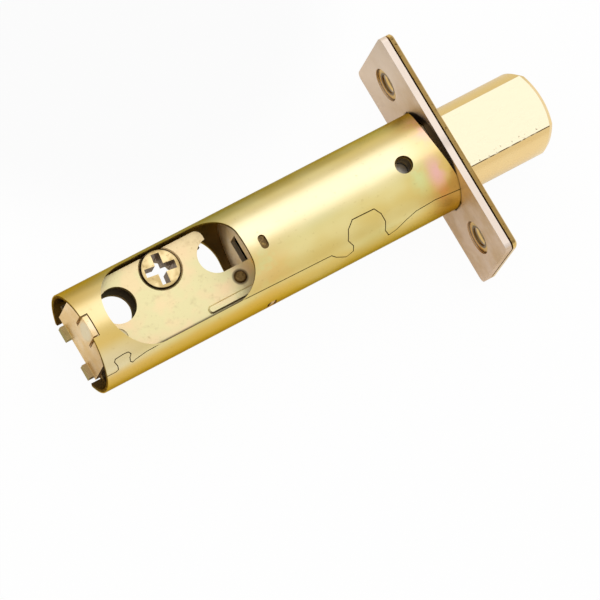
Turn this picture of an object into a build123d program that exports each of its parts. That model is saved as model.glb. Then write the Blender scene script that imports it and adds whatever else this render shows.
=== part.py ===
from build123d import *
import os
from math import asin, cos, degrees, radians, sin, sqrt

# Tubular deadbolt latch with its bolt thrown. X runs along the bolt, towards its tip, Z is the
# hub's axis and Y lies across both. The origin is on the sleeve's axis, at the faceplate's back
# face. Angles round the sleeve are turns about X, from +Z towards -Y.

# Door preparation
backset = 69.85                  # faceplate's back face to the hub axis
throw = 25.4                     # travel of the bolt
faceplate_length = 57.15
faceplate_width = 25.4
faceplate_corner = 1.6
screw_spacing = 41.275
screw_hole_radius = 2.4
post_spacing = 25.84             # between the two holes for the lock's posts
post_height = 3.14               # their place across the sleeve
post_hole_radius = 4.35

# General fits
seat_fit = 0.05                  # between pieces that are fixed together
slide_fit = 0.3                  # round the sliding bolt
running_fit = 0.07               # round the hub's journals
pin_fit = 0.05                   # round cross pins and rivets

# Sleeve, rolled from sheet
sleeve_inset = 0.4               # inside the faceplate's long edges
sleeve_wall = 0.9
sleeve_behind_hub = 24.0
window_ahead = 17.4              # hub axis to a window's front end
window_behind = 18.5             # and to its round rear end
window_upper_angle = 62.0
window_lower_angle = 52.3
window_corner = 7.0
wall_notch_ahead = 19.35         # hub axis to the notch for the front wall's ear
wall_notch_length = 2.5
wall_notch_width = 4.4
wall_notch_corner = 0.8
rear_relief = 2.8                # far side of the rear rim, cut back
rear_relief_angle = 42.0
ear_notch_depth = 1.7            # in the rear rim, for the end plate's ear
ear_notch_play = 0.4
front_gap_depth = 1.8            # crescents cut back from the front rim
front_gap_radius = 31.0
front_gap_turn = 20.0
stake_tab_width = 6.0            # tabs that hold the sleeve in the backing plate
stake_tab_length = 1.4
guide_hole_radius = 2.15
guide_hole_ahead = 59.4          # hub axis to the guide's locating hole
dimple_ahead = 21.4              # hub axis to the stakes that hold the front wall
dimple_length = 3.4
dimple_width = 1.9
dimple_height = -0.8
dimple_depth = 0.7
seam_width = 0.22
seam_depth = 0.45
seam_angle = 57.5
# The seam's line as places ahead of the hub axis and heights above its middle
front_seam = [(10.0, 1.25), (23.4, 0.94), (35.2, 0.71), (36.3, -0.45), (38.9, -2.07), (40.8, -1.33),
              (41.0, 0.3), (40.0, 2.3), (40.8, 4.8), (42.5, 6.3), (48.3, 6.2), (49.5, 4.6), (50.0, 2.3),
              (49.5, -0.1), (50.3, -2.2), (52.4, -1.65), (55.0, -0.25), (57.9, 0.84), (63.2, 1.2),
              (70.8, 0.45)]
rear_seam = [(-8.0, 1.15), (-13.6, 1.0), (-16.5, 0.45), (-17.4, 0.05), (-17.9, 0.6), (-17.8, 1.7),
             (-17.3, 2.5), (-17.8, 3.2), (-18.9, 3.3), (-21.2, 3.1), (-21.6, 2.5), (-21.1, 1.2),
             (-21.1, 0.0), (-21.8, -0.3), (-25.0, -0.3)]

# Faceplate
backing_thickness = 1.6
trim_thickness = 1.2
trim_gap = 0.4
trim_edge_bevel = 0.4
countersink_radius = 4.6
countersink_depth = 2.2
screw_land = 0.5                 # straight wall below a screw seat

# Frame plates inside the sleeve
frame_face = 3.8                 # sleeve's axis to the outer faces
frame_thickness = 1.1
frame_gap = 0.5                  # between a plate's long edges and the sleeve
nose_ahead = 12.4                # hub axis to the ends of the plates' fingers
nose_round = 1.8
rib_rear = 4.7                   # hub axis to the stiffening rib's rear end
rib_edge = 1.6                   # from the plate's long edge
rib_width = 1.9
rib_rise = 0.5
rib_end_round = 0.9
rib_top_bevel = 0.3
coin_behind = 16.5               # hub axis to the round coining mark
coin_height = -3.6
coin_radius = 2.2
coin_depth = 0.2
hook_heights = (4.5, -5.5)       # hooks that hold the end plate
hook_face = 6.0                  # sleeve's axis to the hooks' outer faces
hook_width = 3.4
hook_reach = 1.3

# End plate
end_thickness = 1.2
end_inset = 0.3                  # behind the sleeve's rear rim
end_high = 8.5
end_low = 8.0
end_corner_across = 4.6          # cut from one corner
end_corner_along = 5.0
ear_high = 2.9                   # ear in the notch of the rear rim
ear_low = 2.1
ear_inset = 0.3
ear_slot_width = 0.8
ear_slot_floor = 5.0

# Front wall, between the side plates and the sleeve's stakes
wall_thickness = 1.1
wall_ear_half = 2.0              # ear in the notch of the sleeve's underside
wall_ear_root = 10.4

# Hub and crank
hub_journal_radius = 4.42
hub_journal_proud = 0.2
hub_shoulder_radius = 4.85
hub_end_play = 0.2
hub_side_play = 0.23             # between the hub's shoulder and the sleeve
hub_bevel = 0.65                 # bevel round the journal's seat in the plates
crank_tip_gap = 0.3              # between the crank's tip and the sleeve's bore
crank_thickness = 2.4
crank_root_half = 2.6
crank_neck_half = 1.25
crank_neck_start = 8.5
crank_tip_radius = 1.6
cross_slot_length = 7.4
cross_slot_width = 2.0
cross_slot_turn = -7.5
cross_slot_depth = 4.3
cross_cup_radius = 3.7           # clearance below the cross slot

# Drive bar, laminated between the bolt and the crank
drive_gap_half = 4.2             # half of the gap that the crank works in
drive_block_length = 2.6
drive_top_drop = 1.4             # below the post holes
drive_inset = 2.2                # between the drive bar's foot and the sleeve
strap_inner = 1.4
strap_thickness = 0.7
neck_clearance = 1.0             # behind the broad end, past the front post hole
tongue_half_height = 5.0
drive_front_set = 4.0            # behind the faceplate's back face
drive_rivet_radius = 1.1

# Bolt
guide_wall = 0.9                 # of the collar round the bolt
bolt_flat = 7.55                 # axis to each flat
bolt_tail = 14.0                 # behind the faceplate's back face
bolt_tip_radius = 19.0           # of the rounded end, seen along the hub's axis
bolt_edge_bevel = 1.0
bolt_slot_play = 0.2
bolt_pin_radius = 2.0
bolt_pin_set = 9.0               # behind the faceplate's back face
bolt_pin_short = 0.15            # below each flat
rod_radius = 3.0
rod_length = 24.0
rod_fit = 0.1
guide_length = 14.0
guide_set = 2.2                  # behind the faceplate's back face
guide_ledge = 0.3                # round the guide's holes, inside the sleeve's

# Detent spring
spring_rivet_ahead = 15.2
spring_rivet_height = -3.95
spring_tip_ahead = 3.2
spring_tip_height = 0.1
spring_width = 3.2
spring_thickness = 0.3
spring_heel = 2.0                # behind the rivet
spring_slope = 2.2               # length of the bent end
spring_curl = 0.7
spring_bend = 0.6
spring_lift = 0.2                # above the crank
rivet_shank_radius = 1.25
rivet_head_radius = 1.5
rivet_crown_radius = 1.1
rivet_head_height = 0.45

# Worked out from the values above
hub_x = -backset
sleeve_radius = faceplate_width / 2 - sleeve_inset
sleeve_bore = sleeve_radius - sleeve_wall
sleeve_rear = hub_x - sleeve_behind_hub
trim_back = backing_thickness + trim_gap
trim_front = trim_back + trim_thickness
bolt_tip = trim_front + throw
frame_inner = frame_face - frame_thickness
hook_inner = hook_face - frame_thickness
frame_half = sqrt((sleeve_bore - frame_gap) ** 2 - frame_face ** 2)
rib_outer = frame_half - rib_edge
rib_inner = rib_outer - rib_width
end_outer = sleeve_rear + end_inset
end_inner = end_outer + end_thickness
wall_front = hub_x + dimple_ahead - dimple_width / 2 - seat_fit
wall_rear = wall_front - wall_thickness
post_offset = post_spacing / 2
post_floor = post_height - post_hole_radius
hub_shoulder = frame_inner - hub_end_play
hub_height = sqrt((sleeve_bore - hub_side_play) ** 2 - hub_shoulder ** 2) - hub_shoulder_radius
crank_floor = sqrt(sleeve_bore ** 2 - (crank_thickness / 2) ** 2) - crank_tip_gap
crank_radius = hub_height + crank_floor - crank_tip_radius
crank_half_turn = degrees(asin(throw / 2 / crank_radius))
drive_middle = hub_x + throw / 2
drive_rear = drive_middle - drive_gap_half - drive_block_length
drive_top = post_floor - drive_top_drop
drive_bottom = drive_inset - sleeve_bore
drive_front = -drive_front_set
drive_broad = hub_x + post_offset + post_hole_radius + throw + neck_clearance
strap_outer = strap_inner + strap_thickness
bolt_radius = sleeve_bore - seat_fit - guide_wall - slide_fit


def span_x(x_from, x_to, section):
    """Extrude a section, drawn in Y and Z, from one place along X to another."""
    return extrude(Plane.YZ.offset(x_from) * section, x_to - x_from)


def span_z(z_from, z_to, section):
    """Extrude a section, drawn in X and Y, from one height to another."""
    return extrude(Plane.XY.offset(z_from) * section, z_to - z_from)


def block(x_from, x_to, y_from, y_to, z_from, z_to):
    """Rectangular block between three pairs of limits, each in either order."""
    middle = Pos((x_from + x_to) / 2, (y_from + y_to) / 2, (z_from + z_to) / 2)
    return middle * Box(abs(x_to - x_from), abs(y_to - y_from), abs(z_to - z_from))


def rod_z(x, y, radius, z_from, z_to):
    """Round bar along Z."""
    return span_z(z_from, z_to, Pos(x, y) * Circle(radius))


def ring_sector(x_from, x_to, r_from, r_to, angle_from, angle_to):
    """Part of a ring round X, between two angles."""
    section = Pos((x_from + x_to) / 2, (r_from + r_to) / 2) * Rectangle(x_to - x_from, r_to - r_from)
    ring = revolve(Plane.XZ * section, Axis.X, angle_to - angle_from)
    return Rot(X=angle_from) * ring


def sleeve_window():
    """Cutter for the upper window: round behind, with rounded corners ahead."""
    high = sleeve_radius * sin(radians(window_upper_angle))
    low = -sleeve_radius * sin(radians(window_lower_angle))
    half = (high - low) / 2
    middle = (high + low) / 2
    rear = hub_x - window_behind + half
    front = hub_x + window_ahead
    outline = Pos((rear + front) / 2, middle) * Rectangle(front - rear, 2 * half)
    outline = fillet(outline.vertices().group_by(Axis.X)[-1], window_corner)
    outline += Pos(rear, middle) * Circle(half)
    return span_z(sleeve_wall, sleeve_radius + sleeve_wall, outline)


def seam_groove(places):
    """Cutter for a stretch of seam, engraved square to the sleeve at the seam's middle."""
    line = trace(Polyline([(hub_x + x, y) for x, y in places]), seam_width)
    foot = Plane((0, 0, 0), x_dir=(1, 0, 0),
                 z_dir=(0, -sin(radians(seam_angle)), cos(radians(seam_angle))))
    wall = extrude(foot.offset(sleeve_bore / 2) * line, sleeve_radius)
    ring = Circle(sleeve_radius + sleeve_wall) - Circle(sleeve_radius - seam_depth)
    return wall & span_x(sleeve_rear - sleeve_wall, stake_tab_length, ring)


def sleeve_tube():
    """Rolled tube that carries everything, with two windows and cut-outs for what it holds."""
    outside = sleeve_radius + sleeve_wall
    inside = sleeve_bore - sleeve_wall
    ring = Circle(sleeve_radius) - Circle(sleeve_bore)
    tube = span_x(sleeve_rear, 0, ring)
    crescent = rod_z(front_gap_radius - front_gap_depth, 0, front_gap_radius, sleeve_wall, outside)
    crescent = Rot(X=-front_gap_turn) * crescent
    for cutter in (crescent, sleeve_window()):
        tube -= cutter
        tube -= mirror(cutter, Plane.XY)
    for side in (1, -1):
        tab = block(-sleeve_wall, stake_tab_length, side * sleeve_bore / 2, side * sleeve_radius,
                    -stake_tab_width / 2, stake_tab_width / 2)
        tube += tab & span_x(-sleeve_wall, stake_tab_length, ring)
    notch = RectangleRounded(wall_notch_length, wall_notch_width, wall_notch_corner)
    tube -= extrude(Plane.XZ * Pos(hub_x + wall_notch_ahead, 0) * notch, outside)
    tube -= ring_sector(sleeve_rear - sleeve_wall, sleeve_rear + rear_relief, inside, outside,
                        180 - rear_relief_angle, 180 + rear_relief_angle)
    tube -= block(sleeve_rear - sleeve_wall, sleeve_rear + ear_notch_depth, -ear_low - ear_notch_play,
                  ear_high + ear_notch_play, inside / 2, outside)
    tube -= rod_z(hub_x + guide_hole_ahead, 0, guide_hole_radius, -outside, outside)
    for side in (1, -1):
        stake = Rot(Z=90) * SlotOverall(dimple_length, dimple_width)
        stake = Pos(hub_x + dimple_ahead, dimple_height) * stake
        tube -= span_z(side * (sleeve_radius - dimple_depth), side * outside, stake)
        tube += span_z(side * (sleeve_bore - dimple_depth), side * (sleeve_radius - dimple_depth), stake)
    tube -= seam_groove(front_seam)
    return tube - seam_groove(rear_seam)


def hub_seat(side):
    """Cutter for the hub's journal and the bevel round it, in one frame plate."""
    radius = hub_journal_radius + running_fit
    bore = rod_z(hub_x, hub_height, radius, -sleeve_radius, sleeve_radius)
    bevel = Cone(radius, radius + hub_bevel, hub_bevel)
    seated = Pos(hub_x, hub_height, frame_face - hub_bevel / 2) * bevel
    if side < 0:
        seated = mirror(seated, Plane.XY)
    return bore + seated


def post_holes():
    """Cutter for the two holes that the lock's posts pass through."""
    front = rod_z(hub_x + post_offset, post_height, post_hole_radius, -sleeve_radius, sleeve_radius)
    rear = rod_z(hub_x - post_offset, post_height, post_hole_radius, -sleeve_radius, sleeve_radius)
    return front + rear


def frame_plate():
    """A frame plate on the upper side with its finger and post holes, before its extras."""
    plate = block(end_inner, wall_rear, -frame_half, frame_half, frame_inner, frame_face)
    plate -= block(hub_x + nose_ahead, 0, post_floor, sleeve_radius, 0, sleeve_radius)
    upright = plate.edges().filter_by(Axis.Z)
    tip = upright.filter_by_position(Axis.Y, frame_half - seat_fit, frame_half + seat_fit)
    plate = fillet(tip.sort_by(Axis.X)[-1], nose_round)
    return plate - post_holes()


def upper_side_plate():
    """Frame plate that shows in the upper window, with a rib and the spring's rivet hole."""
    rib = block(hub_x + rib_rear, wall_rear, -rib_outer, -rib_inner,
                frame_face, frame_face + rib_rise)
    ends = rib.edges().filter_by(Axis.Z).group_by(Axis.X)[0]
    rib = fillet(ends, rib_end_round)
    rib = chamfer(rib.faces().sort_by(Axis.Z)[-1].edges(), rib_top_bevel)
    plate = frame_plate() + rib
    plate -= rod_z(hub_x - coin_behind, coin_height, coin_radius, frame_face - coin_depth, frame_face)
    plate -= spring_rivet_hole()
    return plate - hub_seat(1)


def lower_side_plate():
    """Frame plate on the far side, with two hooks that step out and close over the end plate."""
    plate = frame_plate()
    for height in hook_heights:
        low = height - hook_width / 2
        high = height + hook_width / 2
        step = end_inner + frame_thickness
        plate += block(end_inner, step, low, high, frame_inner, hook_face)
        plate += block(end_outer - hook_reach, step, low, high, hook_inner, hook_face)
        plate += block(end_outer - hook_reach, end_outer, low, high,
                       hook_inner - frame_thickness, hook_face)
    plate = mirror(plate, Plane.XY)
    return plate - hub_seat(-1)


def end_plate():
    """Stamped end wall, one corner cut off, with an ear that locks into the sleeve's rear rim."""
    far = seat_fit - hook_inner
    outline = make_face(Polyline((end_high, far), (end_high, sleeve_bore),
                                 (end_corner_across - end_low, sleeve_bore),
                                 (-end_low, sleeve_bore - end_corner_along), (-end_low, far), close=True))
    outline &= Circle(sleeve_bore - seat_fit)
    for side, edge in ((1, ear_high), (-1, ear_low)):
        slot = Pos(side * (edge + ear_slot_width / 2), (ear_slot_floor + sleeve_radius) / 2)
        outline -= slot * Rectangle(ear_slot_width, sleeve_radius - ear_slot_floor)
    ear = Pos((ear_high - ear_low) / 2, sleeve_radius / 2) * Rectangle(ear_high + ear_low, sleeve_radius)
    outline += ear & Circle(sleeve_radius - ear_inset)
    return span_x(end_outer, end_inner, outline)


def front_wall():
    """Stamped wall ahead of the side plates, slotted for the drive bar, with an ear below."""
    high = tongue_half_height + slide_fit
    low = drive_bottom - slide_fit
    slot = Pos((high + low) / 2, 0) * Rectangle(high - low, 2 * (strap_outer + slide_fit))
    outline = Circle(sleeve_bore - seat_fit) - slot
    ear = Pos(-(wall_ear_root + sleeve_radius) / 2, 0)
    ear *= Rectangle(sleeve_radius - wall_ear_root, 2 * wall_ear_half)
    outline += ear & Circle(sleeve_radius - ear_inset)
    return span_x(wall_rear, wall_front, outline)


def bolt_section(grow):
    """The bolt's round with two flats, made larger all round."""
    return Circle(bolt_radius + grow) & Rectangle(2 * (bolt_radius + grow), 2 * (bolt_flat + grow))


def faceplate_outline():
    """Outline that the two layers of the faceplate share."""
    return RectangleRounded(faceplate_length, faceplate_width, faceplate_corner)


def screw_cone(grow, x_from, x_to):
    """Cone of a countersunk screw seat, widened all round, between two places along X."""
    def radius(x):
        slope = (countersink_radius - screw_hole_radius) / countersink_depth
        return countersink_radius - (trim_front - x) * slope + grow
    profile = Polyline((x_from, 0), (x_from, radius(x_from)), (x_to, radius(x_to)), (x_to, 0),
                       close=True)
    return revolve(Plane.XZ * make_face(profile), Axis.X, 360)


def at_screws(cutter):
    """The same solid at both screw places."""
    return Pos(0, screw_spacing / 2, 0) * cutter + Pos(0, -screw_spacing / 2, 0) * cutter


def backing_plate():
    """Thick steel layer of the faceplate, with countersunk seats and slots for the sleeve's tabs."""
    plate = span_x(0, backing_thickness, faceplate_outline())
    plate -= span_x(-backing_thickness, trim_front, bolt_section(slide_fit))
    dish = trim_thickness * sqrt(2) + seat_fit
    seat = screw_cone(dish, trim_front - countersink_depth, trim_front)
    shaft = span_x(-trim_front, trim_front, Circle(screw_hole_radius + dish))
    plate -= at_screws(seat + shaft)
    for side in (1, -1):
        plate -= block(-stake_tab_length, backing_thickness, side * (sleeve_bore - sleeve_wall),
                       side * (sleeve_radius + seat_fit), -stake_tab_width / 2 - seat_fit,
                       stake_tab_width / 2 + seat_fit)
    return plate


def trim_plate():
    """Thin polished front layer, with its screw seats pressed back into the backing plate."""
    plate = span_x(trim_back, trim_front, faceplate_outline())
    plate = chamfer(plate.faces().sort_by(Axis.X)[-1].edges(), trim_edge_bevel)
    dish = trim_thickness * sqrt(2)
    dish_end = trim_front - countersink_depth
    cup = screw_cone(dish, dish_end, trim_front - trim_thickness / 2)
    cup += span_x(dish_end - screw_land, dish_end, Circle(screw_hole_radius + dish))
    plate += at_screws(cup)
    plate -= at_screws(screw_cone(0, dish_end, trim_front + trim_thickness))
    plate -= at_screws(span_x(-trim_front, trim_front, Circle(screw_hole_radius)))
    return plate - span_x(0, bolt_tip, bolt_section(slide_fit))


def bolt_guide():
    """Collar in the sleeve's front end for the bolt, drilled under the locating holes."""
    ring = Circle(sleeve_bore - seat_fit) - bolt_section(slide_fit)
    collar = span_x(-guide_length, -guide_set, ring)
    radius = guide_hole_radius - guide_ledge
    return collar - rod_z(hub_x + guide_hole_ahead, 0, radius, -sleeve_radius, sleeve_radius)


def bolt():
    """Solid bolt with two flats, slotted behind for the drive bar and bored for the hard rod."""
    body = span_x(-bolt_tail, bolt_tip, bolt_section(0))
    round_start = bolt_tip - bolt_tip_radius
    corners = block(round_start, 2 * bolt_tip, -faceplate_width, faceplate_width, -bolt_radius, bolt_radius)
    body -= corners - rod_z(round_start, 0, bolt_tip_radius, -faceplate_width, faceplate_width)
    body = chamfer(body.faces().sort_by(Axis.X)[-1].edges(), bolt_edge_bevel)
    slot_end = drive_front + bolt_slot_play
    half = strap_outer + bolt_slot_play
    body -= block(-bolt_tail, slot_end, -bolt_radius, bolt_radius, -half, half)
    rod_end = slot_end + rod_length + 2 * rod_fit
    body -= span_x(slot_end - rod_radius, rod_end, Circle(rod_radius + rod_fit))
    return body - rod_z(-bolt_pin_set, 0, bolt_pin_radius + pin_fit, -bolt_radius, bolt_radius)


def saw_guard_rod():
    """Hardened rod, loose in the bolt, that turns under a saw."""
    start = drive_front + bolt_slot_play + rod_fit
    return span_x(start, start + rod_length, Circle(rod_radius))


def bolt_pin():
    """Cross pin that ties the drive bar to the bolt."""
    half = bolt_flat - bolt_pin_short
    return rod_z(-bolt_pin_set, 0, bolt_pin_radius, -half, half)


def drive_rivet_places():
    """Middles of the rivets through the drive bar."""
    middle = (drive_top + drive_bottom) / 2
    behind = drive_rear + drive_block_length / 2
    ahead = drive_middle + drive_gap_half + drive_block_length
    return [(behind, middle), (ahead, middle)]


def drive_outline(x_from):
    """Side view of the drive bar, from one place along X to its broad front end."""
    low = -tongue_half_height
    points = [(x_from, drive_bottom), (drive_broad + drive_bottom - low, drive_bottom),
              (drive_broad, low), (drive_front, low), (drive_front, tongue_half_height),
              (drive_broad, tongue_half_height), (drive_broad, drive_top), (x_from, drive_top)]
    return make_face(Polyline(points, close=True))


def drive_holes():
    """Cutter for the drive bar's pin and rivets."""
    cutter = rod_z(-bolt_pin_set, 0, bolt_pin_radius + pin_fit, -bolt_radius, bolt_radius)
    for x, y in drive_rivet_places():
        cutter += rod_z(x, y, drive_rivet_radius + pin_fit, -bolt_radius, bolt_radius)
    return cutter


def drive_strap(side):
    """One outer strap of the drive bar."""
    strap = span_z(side * strap_inner, side * strap_outer, drive_outline(drive_rear))
    return strap - drive_holes()


def drive_core():
    """Middle layer of the drive bar, ahead of the crank."""
    core = span_z(-strap_inner, strap_inner, drive_outline(drive_middle + drive_gap_half))
    return core - drive_holes()


def rear_drive_block():
    """Block between the straps behind the crank."""
    body = block(drive_rear, drive_rear + drive_block_length, drive_bottom, drive_top,
                 -strap_inner, strap_inner)
    return body - drive_holes()


def drive_rivets():
    """Rivets through the drive bar, flush with its straps."""
    return Compound([rod_z(x, y, drive_rivet_radius, -strap_outer, strap_outer)
                     for x, y in drive_rivet_places()])


def drive_hub():
    """Hub with its crank arm and the cross slot for the lock's tailpiece, arm towards the bolt."""
    arm_outline = [(crank_root_half, 0), (crank_neck_half, -crank_neck_start),
                   (crank_neck_half, -crank_radius), (-crank_neck_half, -crank_radius),
                   (-crank_neck_half, -crank_neck_start), (-crank_root_half, 0)]
    arm = make_face(Polyline(arm_outline, close=True))
    arm += Pos(0, -crank_radius) * Circle(crank_tip_radius)
    half = crank_thickness / 2
    body = Rot(Z=crank_half_turn) * span_z(-half, half, arm)
    journal = frame_face + hub_journal_proud
    body += rod_z(0, 0, hub_journal_radius, -journal, journal)
    body += rod_z(0, 0, hub_shoulder_radius, -hub_shoulder, hub_shoulder)
    cross = Rectangle(cross_slot_length, cross_slot_width)
    cross += Rectangle(cross_slot_width, cross_slot_length)
    body -= span_z(-sleeve_radius, sleeve_radius, Rot(Z=cross_slot_turn) * cross)
    body -= rod_z(0, 0, cross_cup_radius, -sleeve_radius, journal - cross_slot_depth)
    return Pos(hub_x, hub_height, 0) * body


def spring_line():
    """Plane that stands on the spring's middle line, and the distance from rivet to tip."""
    along = Vector(spring_tip_ahead - spring_rivet_ahead, spring_tip_height - spring_rivet_height, 0)
    foot = Plane((hub_x + spring_rivet_ahead, spring_rivet_height, 0), x_dir=along.normalized(),
                 z_dir=along.cross(Vector(0, 0, 1)).normalized())
    return foot, along.length


def detent_spring():
    """Leaf spring under the upper plate, whose bent end rides over the crank."""
    foot, reach = spring_line()
    flat = frame_inner - spring_thickness / 2
    tip = crank_thickness / 2 + spring_lift + spring_thickness / 2
    path = FilletPolyline([(-spring_heel, flat), (reach - spring_slope, flat), (reach, tip),
                           (reach + spring_curl, tip + spring_curl)], radius=spring_bend)
    leaf = extrude(foot * trace(path, spring_thickness), spring_width / 2, both=True)
    return leaf - spring_rivet_hole()


def spring_rivet():
    """Rivet that holds the spring to the upper plate, with a low domed head outside."""
    base = frame_inner - spring_thickness
    top = frame_face + rivet_head_height
    profile = Polyline((0, base), (rivet_shank_radius, base), (rivet_shank_radius, frame_face),
                       (rivet_head_radius, frame_face), (rivet_crown_radius, top), (0, top), close=True)
    body = revolve(Plane.XZ * make_face(profile), Axis.Z, 360)
    return Pos(hub_x + spring_rivet_ahead, spring_rivet_height, 0) * body


def spring_rivet_hole():
    """Cutter for the spring's rivet, in the upper plate and the spring."""
    return rod_z(hub_x + spring_rivet_ahead, spring_rivet_height, rivet_shank_radius + pin_fit,
                 0, sleeve_radius)


pieces = {
    "sleeve_tube": sleeve_tube(),
    "upper_side_plate": upper_side_plate(),
    "lower_side_plate": lower_side_plate(),
    "end_plate": end_plate(),
    "front_wall": front_wall(),
    "backing_plate": backing_plate(),
    "trim_plate": trim_plate(),
    "bolt_guide": bolt_guide(),
    "detent_spring": detent_spring(),
    "spring_rivet": spring_rivet(),
    "bolt": bolt(),
    "saw_guard_rod": saw_guard_rod(),
    "bolt_pin": bolt_pin(),
    "upper_drive_strap": drive_strap(1),
    "lower_drive_strap": drive_strap(-1),
    "drive_core": drive_core(),
    "rear_drive_block": rear_drive_block(),
    "drive_rivets": drive_rivets(),
    "drive_hub": drive_hub(),
}

os.makedirs("parts", exist_ok=True)
for name, piece in pieces.items():
    export_step(piece, "parts/" + name + ".step")
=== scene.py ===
import bpy
from mathutils import Matrix, Vector


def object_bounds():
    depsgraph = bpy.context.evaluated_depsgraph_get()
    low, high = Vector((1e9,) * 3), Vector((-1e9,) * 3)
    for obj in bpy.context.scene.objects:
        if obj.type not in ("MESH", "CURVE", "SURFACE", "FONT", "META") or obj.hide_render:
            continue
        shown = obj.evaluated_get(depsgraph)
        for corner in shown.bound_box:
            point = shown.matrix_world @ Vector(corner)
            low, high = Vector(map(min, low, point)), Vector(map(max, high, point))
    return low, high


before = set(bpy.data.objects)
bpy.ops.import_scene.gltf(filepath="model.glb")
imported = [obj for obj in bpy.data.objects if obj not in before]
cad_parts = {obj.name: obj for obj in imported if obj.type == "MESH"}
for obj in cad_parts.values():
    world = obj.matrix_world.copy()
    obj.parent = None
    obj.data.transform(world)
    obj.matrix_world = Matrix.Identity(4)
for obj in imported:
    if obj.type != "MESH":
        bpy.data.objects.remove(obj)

cad_box = [list(corner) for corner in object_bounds()]
bpy.ops.object.select_all(action="DESELECT")

# Sleeve: one sheet of steel rolled to a tube and held by two interlocking seam locks.
# It is plated with yellow zinc, which shows soft gold with faint rainbow patches.
# Grime and painted shade darken the inside of the bore, the seam, the stakes and the drilled
# holes.


class Shade:
    """A socket in a tree of nodes. Sums and products of shades add Math nodes to the tree."""

    def __init__(self, tree, socket=None):
        self.tree = tree
        self.socket = socket

    def node(self, kind, settings=None, inputs=None, output=0):
        """Adds a node: its settings are set first, then its sockets are filled or linked."""
        made = self.tree.nodes.new(kind)
        for name, value in (settings or {}).items():
            setattr(made, name, value)
        for name, value in (inputs or {}).items():
            if isinstance(value, Shade):
                self.tree.links.new(value.socket, made.inputs[name])
            else:
                made.inputs[name].default_value = value
        return Shade(self.tree, made.outputs[output]) if len(made.outputs) else None

    def math(self, operation, first, second=0.0):
        """Adds a Math node on two shades or numbers."""
        return self.node("ShaderNodeMath", {"operation": operation}, {0: first, 1: second})

    def __add__(self, other):
        return self.math("ADD", self, other)

    def __radd__(self, other):
        return self.math("ADD", other, self)

    def __sub__(self, other):
        return self.math("SUBTRACT", self, other)

    def __rsub__(self, other):
        return self.math("SUBTRACT", other, self)

    def __mul__(self, other):
        return self.math("MULTIPLY", self, other)

    def __rmul__(self, other):
        return self.math("MULTIPLY", other, self)

    def __abs__(self):
        return self.math("ABSOLUTE", self)

    def band(self, low, high):
        """0 at low and below, 1 at high and above, smooth between."""
        return self.node(
            "ShaderNodeMapRange",
            {"interpolation_type": "SMOOTHSTEP"},
            {"Value": self, "From Min": low, "From Max": high, "To Min": 0.0, "To Max": 1.0},
        )

    def noise(self, scale, detail, stretch=(1.0, 1.0, 1.0)):
        """Noise on this place, with its scale in cells per metre, stretched along the axes."""
        spread = self.node("ShaderNodeMapping", None, {"Vector": self, "Scale": stretch})
        return self.node(
            "ShaderNodeTexNoise",
            None,
            {"Vector": spread, "Scale": scale, "Detail": detail, "Roughness": 0.55},
        )

    def blend(self, first, second, share=1.0):
        """A colour from first to second, which gets at most that share where this shade is 1."""
        factor_in, first_in, second_in, colour_out = 0, 6, 7, 2
        factor = self if share == 1.0 else self * share
        return self.node(
            "ShaderNodeMix",
            {"data_type": "RGBA"},
            {factor_in: factor, first_in: first, second_in: second},
            output=colour_out,
        )

    def away(self, centre, weights=(1.0, 1.0, 1.0)):
        """Distance of this place from a centre, with each axis weighted, in metres."""
        kind = "ShaderNodeVectorMath"
        moved = self.node(kind, {"operation": "SUBTRACT"}, {0: self, 1: centre})
        scaled = self.node(kind, {"operation": "MULTIPLY"}, {0: moved, 1: weights})
        return self.node(kind, {"operation": "LENGTH"}, {0: scaled}, output="Value")

    def near(self, centre, reach, weights=(1.0, 1.0, 1.0)):
        """1 at a centre, fading to 0 at that reach from it, in metres."""
        return 1 - self.away(centre, weights).band(0.0, reach)

    def axis(self, letter):
        """This place's coordinate X, Y or Z, in metres."""
        return self.node("ShaderNodeSeparateXYZ", None, {"Vector": self}, output=letter)


def colour(red, green, blue):
    """A colour as it looks on a screen, 0 to 255, as linear light with full alpha."""
    parts = []
    for part in (red, green, blue):
        part = part / 255
        parts.append(part / 12.92 if part <= 0.04045 else ((part + 0.055) / 1.055) ** 2.4)
    return (*parts, 1.0)


def metal(name, edge_tint=(1.0, 1.0, 1.0, 1.0)):
    """A new metal with its tint at grazing angles, and its Object coordinates as a shade."""
    material = bpy.data.materials.new(name)
    material.use_nodes = True
    shader = material.node_tree.nodes["Principled BSDF"]
    shader.inputs["Metallic"].default_value = 1.0
    shader.inputs["Specular Tint"].default_value = edge_tint
    return material, Shade(material.node_tree).node("ShaderNodeTexCoord", output="Object")


def finish(material, tone, roughness, relief, strength):
    """Links a metal's colour, its roughness and a fine relief, a tenth of a millimetre deep."""
    bump = {"Strength": strength, "Distance": 0.0001, "Height": relief}
    shader = material.node_tree.nodes["Principled BSDF"]
    varying = {
        "Base Color": tone,
        "Roughness": roughness,
        "Normal": relief.node("ShaderNodeBump", None, bump),
    }
    for socket, shade in varying.items():
        material.node_tree.links.new(shade.socket, shader.inputs[socket])


def dress(material, *node_names):
    """Gives nodes of the frame their material."""
    for node_name in node_names:
        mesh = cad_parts[node_name].data
        mesh.materials.clear()
        mesh.materials.append(material)


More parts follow.
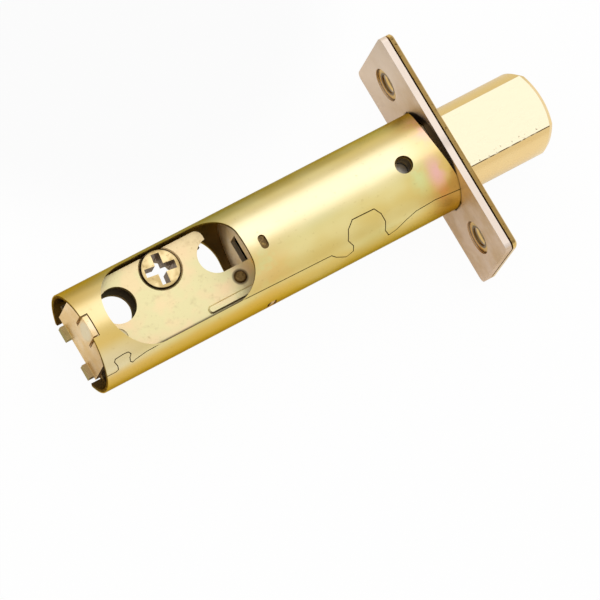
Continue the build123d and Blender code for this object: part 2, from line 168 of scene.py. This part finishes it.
# Each pair holds the places, in metres, between which a mask fades.
sleeve_axis = (0.0, 0.0, 0.0)
across_sleeve = (0.0, 1.0, 1.0)
recess_radii = (0.0119, 0.01222)
wall_radii = (0.01145, 0.01158)
front_end = (-0.013, 0.0)
front_half = (-0.055, -0.035)
rear_end = (-0.0930, -0.0740)
rear_rim = (-0.09385, -0.0934)
crown_line = 0.0028
crown_widths = (0.0010, 0.0068)
above_axis = (0.0, 0.004)
low_side_places = (-0.0085, -0.0040)
low_strip_places = (-0.0114, -0.0098)
along_rim = (1.5, 0.85, 0.85)
rainbow_blush = (-0.0024, 0.0058, 0.0108)
rainbow_green = (-0.0088, -0.0040, 0.0116)
rainbow_orange = (-0.0041, -0.0083, 0.0090)
rainbow_pink = (-0.0044, -0.0048, 0.0113)
window_blush = (-0.0500, -0.0062, 0.0106)
zinc_gold = colour(231, 207, 127)
zinc_pale = colour(240, 224, 156)
zinc_cream = colour(246, 236, 204)
zinc_green = colour(212, 210, 146)
zinc_amber = colour(226, 186, 96)
zinc_honey = colour(234, 190, 84)
zinc_lime = colour(220, 236, 170)
zinc_pink = colour(248, 190, 190)
zinc_orange = colour(246, 190, 112)
zinc_dirt = colour(150, 120, 62)
zinc_worn = colour(250, 236, 206)
grime_and_shade = colour(84, 54, 20)

sleeve_zinc, place = metal("sleeve_zinc", edge_tint=colour(178, 160, 90))
cloud = place.noise(scale=90.0, detail=2.0, stretch=(0.6, 1.0, 1.0)).band(0.38, 0.66)
green_cloud = place.noise(scale=60.0, detail=2.0, stretch=(0.5, 1.3, 1.3)).band(0.46, 0.70)
stain = place.noise(scale=900.0, detail=4.0).band(0.60, 0.75)
drift = place.noise(scale=330.0, detail=2.0).band(0.25, 0.55)
grain = place.noise(scale=2600.0, detail=3.0, stretch=(0.15, 1.0, 1.0))
from_axis = place.away(sleeve_axis, across_sleeve)
recess = 1 - from_axis.band(*recess_radii)
streak = place.noise(scale=1300.0, detail=2.0).band(0.48, 0.66) * from_axis.band(*wall_radii)
# Amber towards the faceplate is a painted reflection of the faceplate, with painted shade.
faceplate_reflection = place.axis("X").band(*front_end)
front_part = place.axis("X").band(*front_half)
rear_warmth = 1 - place.axis("X").band(*rear_end)
rim_wear = (1 - place.axis("X").band(*rear_rim)) * stain.band(0.0, 0.4)
# A pale cream band along the top is a painted highlight, and it takes amber away there.
crown_highlight = 1 - abs(place.axis("Y") - crown_line).band(*crown_widths)
crown_highlight = crown_highlight * place.axis("Z").band(*above_axis)
low_side = 1 - place.axis("Y").band(*low_side_places)
# A honey strip along the low side, fainter towards the front, is a painted reflection.
low_strip_sheen = 1 - place.axis("Y").band(*low_strip_places)
amber_share = 0.75 - crown_highlight * 0.3 - low_side * 0.45
honey_share = 0.8 - front_part * 0.45
blush_patch = place.near(rainbow_blush, reach=0.0060, weights=along_rim) * drift
green_patch = place.near(rainbow_green, reach=0.0055, weights=along_rim) * drift
orange_patch = place.near(rainbow_orange, reach=0.0052, weights=along_rim) * drift
pink_patch = place.near(rainbow_pink, reach=0.0052, weights=along_rim) * drift
window_patch = place.near(window_blush, reach=0.0100) * drift
tone = cloud.blend(zinc_gold, zinc_pale)
tone = green_cloud.blend(tone, zinc_green, share=0.6)
tone = crown_highlight.blend(tone, zinc_cream, share=0.75)
tone = faceplate_reflection.blend(tone, zinc_amber, share=0.6)
tone = (rear_warmth * amber_share).blend(tone, zinc_amber)
tone = (rear_warmth * low_side).blend(tone, zinc_cream, share=0.6)
tone = (low_strip_sheen * honey_share).blend(tone, zinc_honey)
tone = blush_patch.blend(tone, zinc_pink, share=0.6)
tone = green_patch.blend(tone, zinc_lime, share=0.6)
tone = orange_patch.blend(tone, zinc_orange)
tone = pink_patch.blend(tone, zinc_pink, share=0.8)
tone = window_patch.blend(tone, zinc_orange, share=0.4)
tone = stain.blend(tone, zinc_dirt, share=0.14)
tone = rim_wear.blend(tone, zinc_worn, share=0.6)
# Inside the bore and in its recesses: grime and painted shade.
tone = recess.blend(tone, streak.blend(grime_and_shade, zinc_dirt), share=0.9)
finish(
    sleeve_zinc,
    tone,
    roughness=0.26 + grain * 0.10 + stain * 0.08 + recess * 0.2,
    relief=grain,
    strength=0.06,
)
dress(sleeve_zinc, "sleeve_tube")

# Side plates: stamped from strip steel and zinc plated, dulled and stained by handling.
# They stand in the sleeve's windows, carry the hub and take the fixing posts.
# Their punched edges and inner faces are darkened by oil and painted shade, and the ring round
# the hub holds dark oil.
hub_axis = (-0.06985, 0.0060366, 0.0)
rivet_axis = (-0.05465, -0.00395, 0.0)
coin_axis = (-0.08635, -0.0036, 0.0)
along_hub = (1.0, 1.0, 0.0)
under_plate_face = (0.00368, 0.00378)
hub_seat_radii = (0.0051, 0.0054)
hub_ring_radii = (0.00474, 0.00490)
coin_radii = (0.00215, 0.00235)
rivet_ring_radii = (0.0016, 0.0021)
hook_ends = (-0.0939, -0.0933)
plate_low_edge = (-0.0090, -0.0084)
seat_darkening = 0.1
coin_darkening = 0.25
plate_beige = colour(243, 222, 176)
plate_lime = colour(234, 224, 174)
plate_pink = colour(248, 215, 174)
plate_dirt = colour(160, 130, 82)
oil_and_shade = colour(66, 46, 24)

plate_zinc, place = metal("plate_zinc", edge_tint=colour(200, 180, 120))
cloud = place.noise(scale=150.0, detail=2.0).band(0.40, 0.62)
blush = place.noise(scale=110.0, detail=2.0, stretch=(1.0, 1.4, 1.0)).band(0.50, 0.68)
smudge = place.noise(scale=420.0, detail=3.0).band(0.55, 0.75)
speck = place.noise(scale=1400.0, detail=3.0).band(0.62, 0.74)
grain = place.noise(scale=3200.0, detail=3.0)
from_hub = place.away(hub_axis, along_hub)
from_coin = place.away(coin_axis, along_hub)
# Below the plate's outer face: oil and painted shade, lighter at the hub's seat and the coined
# mark.
punched = 1 - abs(place.axis("Z")).band(*under_plate_face)
punched = punched * (seat_darkening + (1 - seat_darkening) * from_hub.band(*hub_seat_radii))
punched = punched * (coin_darkening + (1 - coin_darkening) * from_coin.band(*coin_radii))
# The hook ends are darkened as painted shade.
hooks = 1 - place.axis("X").band(*hook_ends)
hub_ring = 1 - from_hub.band(*hub_ring_radii)
# The plate's low edge is darkened as painted shade.
low_edge_shade = 1 - place.axis("Y").band(*plate_low_edge)
rivet_ring = 1 - place.away(rivet_axis, along_hub).band(*rivet_ring_radii)
tone = cloud.blend(plate_beige, plate_lime)
tone = blush.blend(tone, plate_pink, share=0.35)
tone = smudge.blend(tone, plate_dirt, share=0.22)
tone = speck.blend(tone, plate_dirt, share=0.14)
tone = hooks.blend(tone, oil_and_shade, share=0.45)
tone = rivet_ring.blend(tone, oil_and_shade, share=0.75)
tone = hub_ring.blend(tone, oil_and_shade, share=0.7)
tone = low_edge_shade.blend(tone, oil_and_shade, share=0.85)
tone = punched.blend(tone, oil_and_shade, share=0.75)
finish(
    plate_zinc,
    tone,
    roughness=0.44 + grain * 0.12 + speck * 0.10 + punched * 0.1,
    relief=grain,
    strength=0.10,
)
dress(plate_zinc, "upper_side_plate", "lower_side_plate")

# End plate and front wall: stamped discs of plated steel that close the cage at both ends.
# The end plate is held by the lower side plate's hooks, the front wall by the sleeve's stakes.
ear_middle = (-0.0936, 0.0004, 0.0080)
ear_shape = (1.0, 1.4, 0.8)
wall_low_part = (-0.0075, 0.0005)
wall_peach = colour(254, 232, 196)
wall_gold = colour(246, 216, 164)
wall_grey = colour(242, 236, 212)
wall_shade_brown = colour(196, 160, 108)

wall_zinc, place = metal("wall_zinc", edge_tint=colour(244, 230, 204))
cloud = place.noise(scale=200.0, detail=2.0).band(0.38, 0.66)
speck = place.noise(scale=1500.0, detail=3.0).band(0.60, 0.74)
grain = place.noise(scale=3000.0, detail=3.0)
ear = place.near(ear_middle, reach=0.0048, weights=ear_shape).band(0.1, 0.5)
# The lower part is darker and browner: painted shade.
low_part_shade = 1 - place.axis("Y").band(*wall_low_part)
tone = cloud.blend(wall_peach, wall_gold)
tone = ear.blend(tone, wall_grey, share=0.8)
tone = low_part_shade.blend(tone, wall_shade_brown, share=0.5)
tone = speck.blend(tone, plate_dirt, share=0.3)
finish(
    wall_zinc,
    tone,
    roughness=0.36 + grain * 0.12 + speck * 0.12,
    relief=grain,
    strength=0.10,
)
dress(wall_zinc, "end_plate", "front_wall")

# Bolt guide: a dull plated collar pressed into the sleeve's front end.
# The bolt slides in it. Its colours are darkened as painted shade, so it shows dark in the gap
# behind the faceplate.
guide_gold = colour(150, 124, 66)
guide_shade = colour(78, 62, 32)

guide_metal, place = metal("guide_metal")
cloud = place.noise(scale=240.0, detail=3.0).band(0.35, 0.70)
grain = place.noise(scale=2400.0, detail=3.0)
finish(
    guide_metal,
    cloud.blend(guide_gold, guide_shade),
    roughness=0.35 + grain * 0.15,
    relief=grain,
    strength=0.12,
)
dress(guide_metal, "bolt_guide")

# Detent spring: a blued leaf of spring steel that rides on the hub's crank.
# Its rivet is headed over on the upper side plate and has dulled to olive brown.
spring_grey = colour(120, 112, 100)
spring_blue = colour(86, 88, 104)
rivet_rim_radii = (0.0010, 0.0014)
rivet_olive = colour(136, 110, 68)
rivet_brown = colour(104, 82, 46)

spring_steel, place = metal("spring_steel")
heat = place.noise(scale=300.0, detail=2.0).band(0.35, 0.70)
grain = place.noise(scale=2600.0, detail=3.0)
finish(
    spring_steel,
    heat.blend(spring_grey, spring_blue),
    roughness=0.28 + grain * 0.14,
    relief=grain,
    strength=0.06,
)
dress(spring_steel, "detent_spring")

rivet_dull, place = metal("rivet_dull")
mark = place.noise(scale=1500.0, detail=3.0).band(0.40, 0.70)
rim = place.away(rivet_axis, along_hub).band(*rivet_rim_radii)
tone = mark.blend(rivet_olive, rivet_brown)
tone = rim.blend(tone, oil_and_shade, share=0.7)
finish(rivet_dull, tone, roughness=0.45 + mark * 0.14, relief=mark, strength=0.15)
dress(rivet_dull, "spring_rivet")

# Hub: a plated disc with a cross-shaped slot for the tailpiece, and a crank arm below it.
# It turns in both side plates and throws the drive bar. Oil and painted shade darken all below
# its face, the slot's walls too.
under_hub_face = (0.0034, 0.00396)
hub_rim_radii = (0.00405, 0.0044)
hub_gold = colour(248, 224, 170)
hub_olive = colour(200, 174, 120)
hub_oil_and_shade = colour(120, 96, 80)

hub_steel, place = metal("hub_steel")
cloud = place.noise(scale=260.0, detail=2.0).band(0.36, 0.62)
pit = place.noise(scale=1800.0, detail=3.0).band(0.58, 0.74)
# Below the hub's face: oil and painted shade.
sunk_shade = 1 - abs(place.axis("Z")).band(*under_hub_face)
rim = place.away(hub_axis, along_hub).band(*hub_rim_radii)
tone = cloud.blend(hub_gold, hub_olive)
tone = pit.blend(tone, plate_dirt, share=0.35)
tone = rim.blend(tone, oil_and_shade, share=0.2)
tone = sunk_shade.blend(tone, hub_oil_and_shade, share=0.85)
finish(hub_steel, tone, roughness=0.38 + pit * 0.18, relief=pit, strength=0.12)
dress(hub_steel, "drive_hub")

# Drive bar: two straps over a core and a rear block, all stamped and zinc plated.
# Bright steel rivets hold them together.
# The hub's crank works in the gap between the core and the rear block.
steel_bright = colour(188, 184, 176)
steel_grey = colour(150, 146, 138)

dress(wall_zinc, "upper_drive_strap", "lower_drive_strap", "drive_core", "rear_drive_block")

plain_steel, place = metal("plain_steel")
turned = place.noise(scale=2200.0, detail=3.0, stretch=(1.0, 1.0, 0.2))
finish(
    plain_steel,
    turned.blend(steel_bright, steel_grey),
    roughness=0.26 + turned * 0.14,
    relief=turned,
    strength=0.06,
)
dress(plain_steel, "drive_rivets")

# Bolt: a solid bar of brass, drawn round and polished, with two bright milled flats.
# A hard steel rod lies loose inside it against sawing, and a pin ties it to the drive bar.
flat_heights = (0.00745, 0.00752)
flat_edge = (0.0, -0.00678, 0.00755)
edge_line_radii = (0.00006, 0.00018)
bolt_tip = (0.0274, 0.0284)
bolt_low_side = (-0.0068, -0.0048)
bolt_high_side = (0.0030, 0.0068)
brass_cream = colour(230, 220, 190)
brass_peach = colour(253, 230, 176)
brass_amber = colour(250, 218, 156)
brass_deep = colour(232, 201, 130)
brass_worn = colour(255, 244, 214)
brass_speck = colour(84, 62, 36)

bolt_brass, place = metal("bolt_brass")
cloud = place.noise(scale=70.0, detail=1.0).band(0.30, 0.70)
scuff = place.noise(scale=700.0, detail=3.0).band(0.40, 0.65)
broken = place.noise(scale=500.0, detail=2.0).band(0.30, 0.50)
grain = place.noise(scale=2600.0, detail=3.0, stretch=(0.2, 1.0, 1.0))
milled = abs(place.axis("Z")).band(*flat_heights)
tip_wear = place.axis("X").band(*bolt_tip) * scuff
low_side = 1 - place.axis("Y").band(*bolt_low_side)
# The high side is a deeper gold: painted shade.
high_side_shade = place.axis("Y").band(*bolt_high_side)
speck = place.noise(scale=1500.0, detail=2.0).band(0.64, 0.70) * low_side
edge_line = 1 - place.away(flat_edge, across_sleeve).band(*edge_line_radii)
tone = cloud.blend(brass_peach, brass_amber)
tone = high_side_shade.blend(tone, brass_deep)
tone = milled.blend(tone, brass_cream)
tone = tip_wear.blend(tone, brass_worn, share=0.2)
tone = (speck * milled).blend(tone, brass_speck, share=0.9)
tone = (edge_line * broken).blend(tone, brass_speck)
finish(
    bolt_brass,
    tone,
    roughness=0.22 + grain * 0.08 + speck * 0.2,
    relief=grain,
    strength=0.04,
)
dress(bolt_brass, "bolt")
dress(plain_steel, "bolt_pin", "saw_guard_rod")

# Faceplate backing: a thick steel plate that carries the sleeve, staked to it behind.
# Its plating is a dull pinkish beige with soft cloudy marks.
backing_high_half = (0.006, 0.022)
backing_sides = (0.0123, 0.0126)
sleeve_seat_radii = (0.0122, 0.0129)
backing_rose = colour(230, 209, 190)
backing_tan = colour(216, 190, 158)
backing_pale = colour(244, 230, 216)
backing_edge = colour(228, 213, 200)

backing_steel, place = metal("backing_steel", edge_tint=colour(240, 224, 202))
cloud = place.noise(scale=110.0, detail=3.0).band(0.36, 0.66)
smear = place.noise(scale=260.0, detail=3.0, stretch=(1.0, 0.6, 1.0)).band(0.48, 0.74)
grain = place.noise(scale=2400.0, detail=3.0)
# The high half is paler: painted light.
high_half_light = place.axis("Y").band(*backing_high_half)
edge = abs(place.axis("Z")).band(*backing_sides)
# Inside the sleeve's ring the backing is darkened as painted shade, with some oil.
behind_sleeve_shade = 1 - place.away(sleeve_axis, across_sleeve).band(*sleeve_seat_radii)
tone = cloud.blend(backing_rose, backing_tan)
tone = smear.blend(tone, backing_pale, share=0.35)
tone = high_half_light.blend(tone, backing_pale, share=0.7)
tone = edge.blend(tone, backing_edge)
tone = behind_sleeve_shade.blend(tone, oil_and_shade, share=0.85)
finish(
    backing_steel,
    tone,
    roughness=0.36 + cloud * 0.08 + grain * 0.08,
    relief=grain,
    strength=0.08,
)
dress(backing_steel, "backing_plate")

# Trim plate: a polished brass front, pressed with two countersunk seats.
# The seats' cups come through the backing plate and show as gold rims from behind.
screw_place = 0.0206375
trim_sides = (0.0124, 0.01265)
# Distances from a screw's axis, squared.
cup_squares = (0.0000160, 0.0000190)
cup_rim_squares = (0.0000135, 0.0000150)
bore_squares = (0.0000070, 0.0000100)
trim_gold = colour(236, 204, 132)
trim_deep = colour(220, 182, 108)
trim_edge = colour(114, 88, 46)
trim_cup = colour(216, 176, 96)
trim_speck = colour(70, 48, 24)

trim_brass, place = metal("trim_brass")
cloud = place.noise(scale=140.0, detail=2.0).band(0.35, 0.68)
speck = place.noise(scale=1700.0, detail=2.0).band(0.62, 0.70)
grain = place.noise(scale=2600.0, detail=3.0, stretch=(1.0, 0.2, 1.0))
edge = abs(place.axis("Z")).band(*trim_sides)
along = abs(place.axis("Y")) - screw_place
across = place.axis("Z")
square_from_screw = along * along + across * across
cup = 1 - square_from_screw.band(*cup_squares)
cup_rim = cup * square_from_screw.band(*cup_rim_squares)
# The screw bores are darkened.
dark_bore = 1 - square_from_screw.band(*bore_squares)
speck_share = 0.25 + edge * 0.6
tone = cloud.blend(trim_gold, trim_deep)
tone = edge.blend(tone, trim_edge, share=0.8)
tone = (speck * speck_share).blend(tone, trim_speck)
tone = cup.blend(tone, trim_cup, share=0.8)
tone = cup_rim.blend(tone, trim_speck, share=0.8)
tone = dark_bore.blend(tone, trim_speck, share=0.85)
finish(
    trim_brass,
    tone,
    roughness=0.20 + grain * 0.10 + speck * 0.2,
    relief=grain,
    strength=0.04,
)
dress(trim_brass, "trim_plate")

# Studio: a pale floor that the latch lies on, a soft pale sky and one large soft box above.
# The floor looks white and keeps a soft shadow.
# Beside the latch it has a darker patch, which the sleeve mirrors as a soft dark band.
plain_white = (1.0, 1.0, 1.0, 1.0)
floor_side = 6.0
floor_white = (0.86, 0.86, 0.86, 1.0)
floor_shade = (0.26, 0.26, 0.26, 1.0)
floor_glow = 0.955
floor_glow_in_metal = 0.36
shade_middle = (-0.045, 0.078, 0.0)
shade_radii = (0.045, 0.068)
sky_zenith = (0.96, 0.96, 0.96, 1.0)
sky_horizon = (0.80, 0.75, 0.64, 1.0)
sky_heights = (-0.05, 0.75)
sky_strength = 0.95
soft_box_width = 1.6
soft_box_watts = 3.3
soft_box_place = Vector((0.39, 0.72, 1.02))
soft_box_aim = Vector((-0.035, 0.0, 0.0))

bpy.ops.mesh.primitive_plane_add(size=floor_side, location=(0.0, 0.0, cad_box[0][2]))
floor = bpy.context.object
floor.name = "floor"
floor_paint = bpy.data.materials.new("floor_paint")
floor_paint.use_nodes = True
floor_paint.node_tree.nodes.clear()
painting = Shade(floor_paint.node_tree)
seen = painting.node("ShaderNodeLightPath", output="Is Camera Ray")
in_metal = painting.node("ShaderNodeLightPath", output="Is Glossy Ray")
in_glass = painting.node("ShaderNodeLightPath", output="Is Transmission Ray")
mirrored = painting.math("MAXIMUM", in_metal, in_glass)
glow_share = painting.math("MAXIMUM", seen * floor_glow, mirrored * floor_glow_in_metal)
place = painting.node("ShaderNodeTexCoord", output="Object")
open_floor = place.away(shade_middle).band(*shade_radii)
matt = painting.node(
    "ShaderNodeBsdfPrincipled",
    None,
    {
        "Base Color": open_floor.blend(floor_shade, floor_white),
        "Roughness": 1.0,
        "Specular IOR Level": 0.0,
    },
)
glow = painting.node("ShaderNodeEmission", None, {"Color": plain_white, "Strength": 1.0})
mixed = painting.node("ShaderNodeMixShader", None, {0: glow_share, 1: matt, 2: glow})
painting.node("ShaderNodeOutputMaterial", None, {"Surface": mixed})
floor.data.materials.append(floor_paint)

world = bpy.data.worlds.new("studio")
bpy.context.scene.world = world
world.use_nodes = True
world.node_tree.nodes.clear()
painting = Shade(world.node_tree)
height = painting.node("ShaderNodeTexCoord", output="Generated").axis("Z")
seen = painting.node("ShaderNodeLightPath", output="Is Camera Ray")
sky = height.band(*sky_heights).blend(sky_horizon, sky_zenith)
lit = painting.node("ShaderNodeBackground", None, {"Color": sky, "Strength": sky_strength})
white = painting.node("ShaderNodeBackground", None, {"Color": plain_white, "Strength": 1.0})
mixed = painting.node("ShaderNodeMixShader", None, {0: seen, 1: lit, 2: white})
painting.node("ShaderNodeOutputWorld", None, {"Surface": mixed})

lamp = bpy.data.lights.new("soft_box", "AREA")
lamp.shape = "DISK"
lamp.size = soft_box_width
lamp.energy = soft_box_watts
soft_box = bpy.data.objects.new("soft_box", lamp)
soft_box.location = soft_box_place
soft_box.rotation_euler = (soft_box_place - soft_box_aim).to_track_quat("Z", "Y").to_euler()
soft_box.visible_camera = False
bpy.context.scene.collection.objects.link(soft_box)

bpy.context.scene.view_settings.view_transform = "Standard"

# Camera: a long lens above the latch, at the photograph's angle.
# Its three axes and its place are in the latch's own frame, in metres.
# The sensor's width and the lens's length are in millimetres.
camera_right = (0.844414, -0.502940, 0.184436)
camera_up = (0.443002, 0.849191, 0.287443)
camera_back = (-0.301188, -0.161015, 0.939872)
camera_place = (-0.4279465, -0.2195424, 1.1977776)
sensor_width = 36.0
lens_length = 338.682

lens = bpy.data.cameras.new("camera")
lens.sensor_width = sensor_width
lens.lens = lens_length
camera = bpy.data.objects.new("camera", lens)
axes = Matrix((camera_right, camera_up, camera_back)).transposed()
camera.matrix_world = Matrix.Translation(camera_place) @ axes.to_4x4()
bpy.context.scene.collection.objects.link(camera)
bpy.context.scene.camera = camera
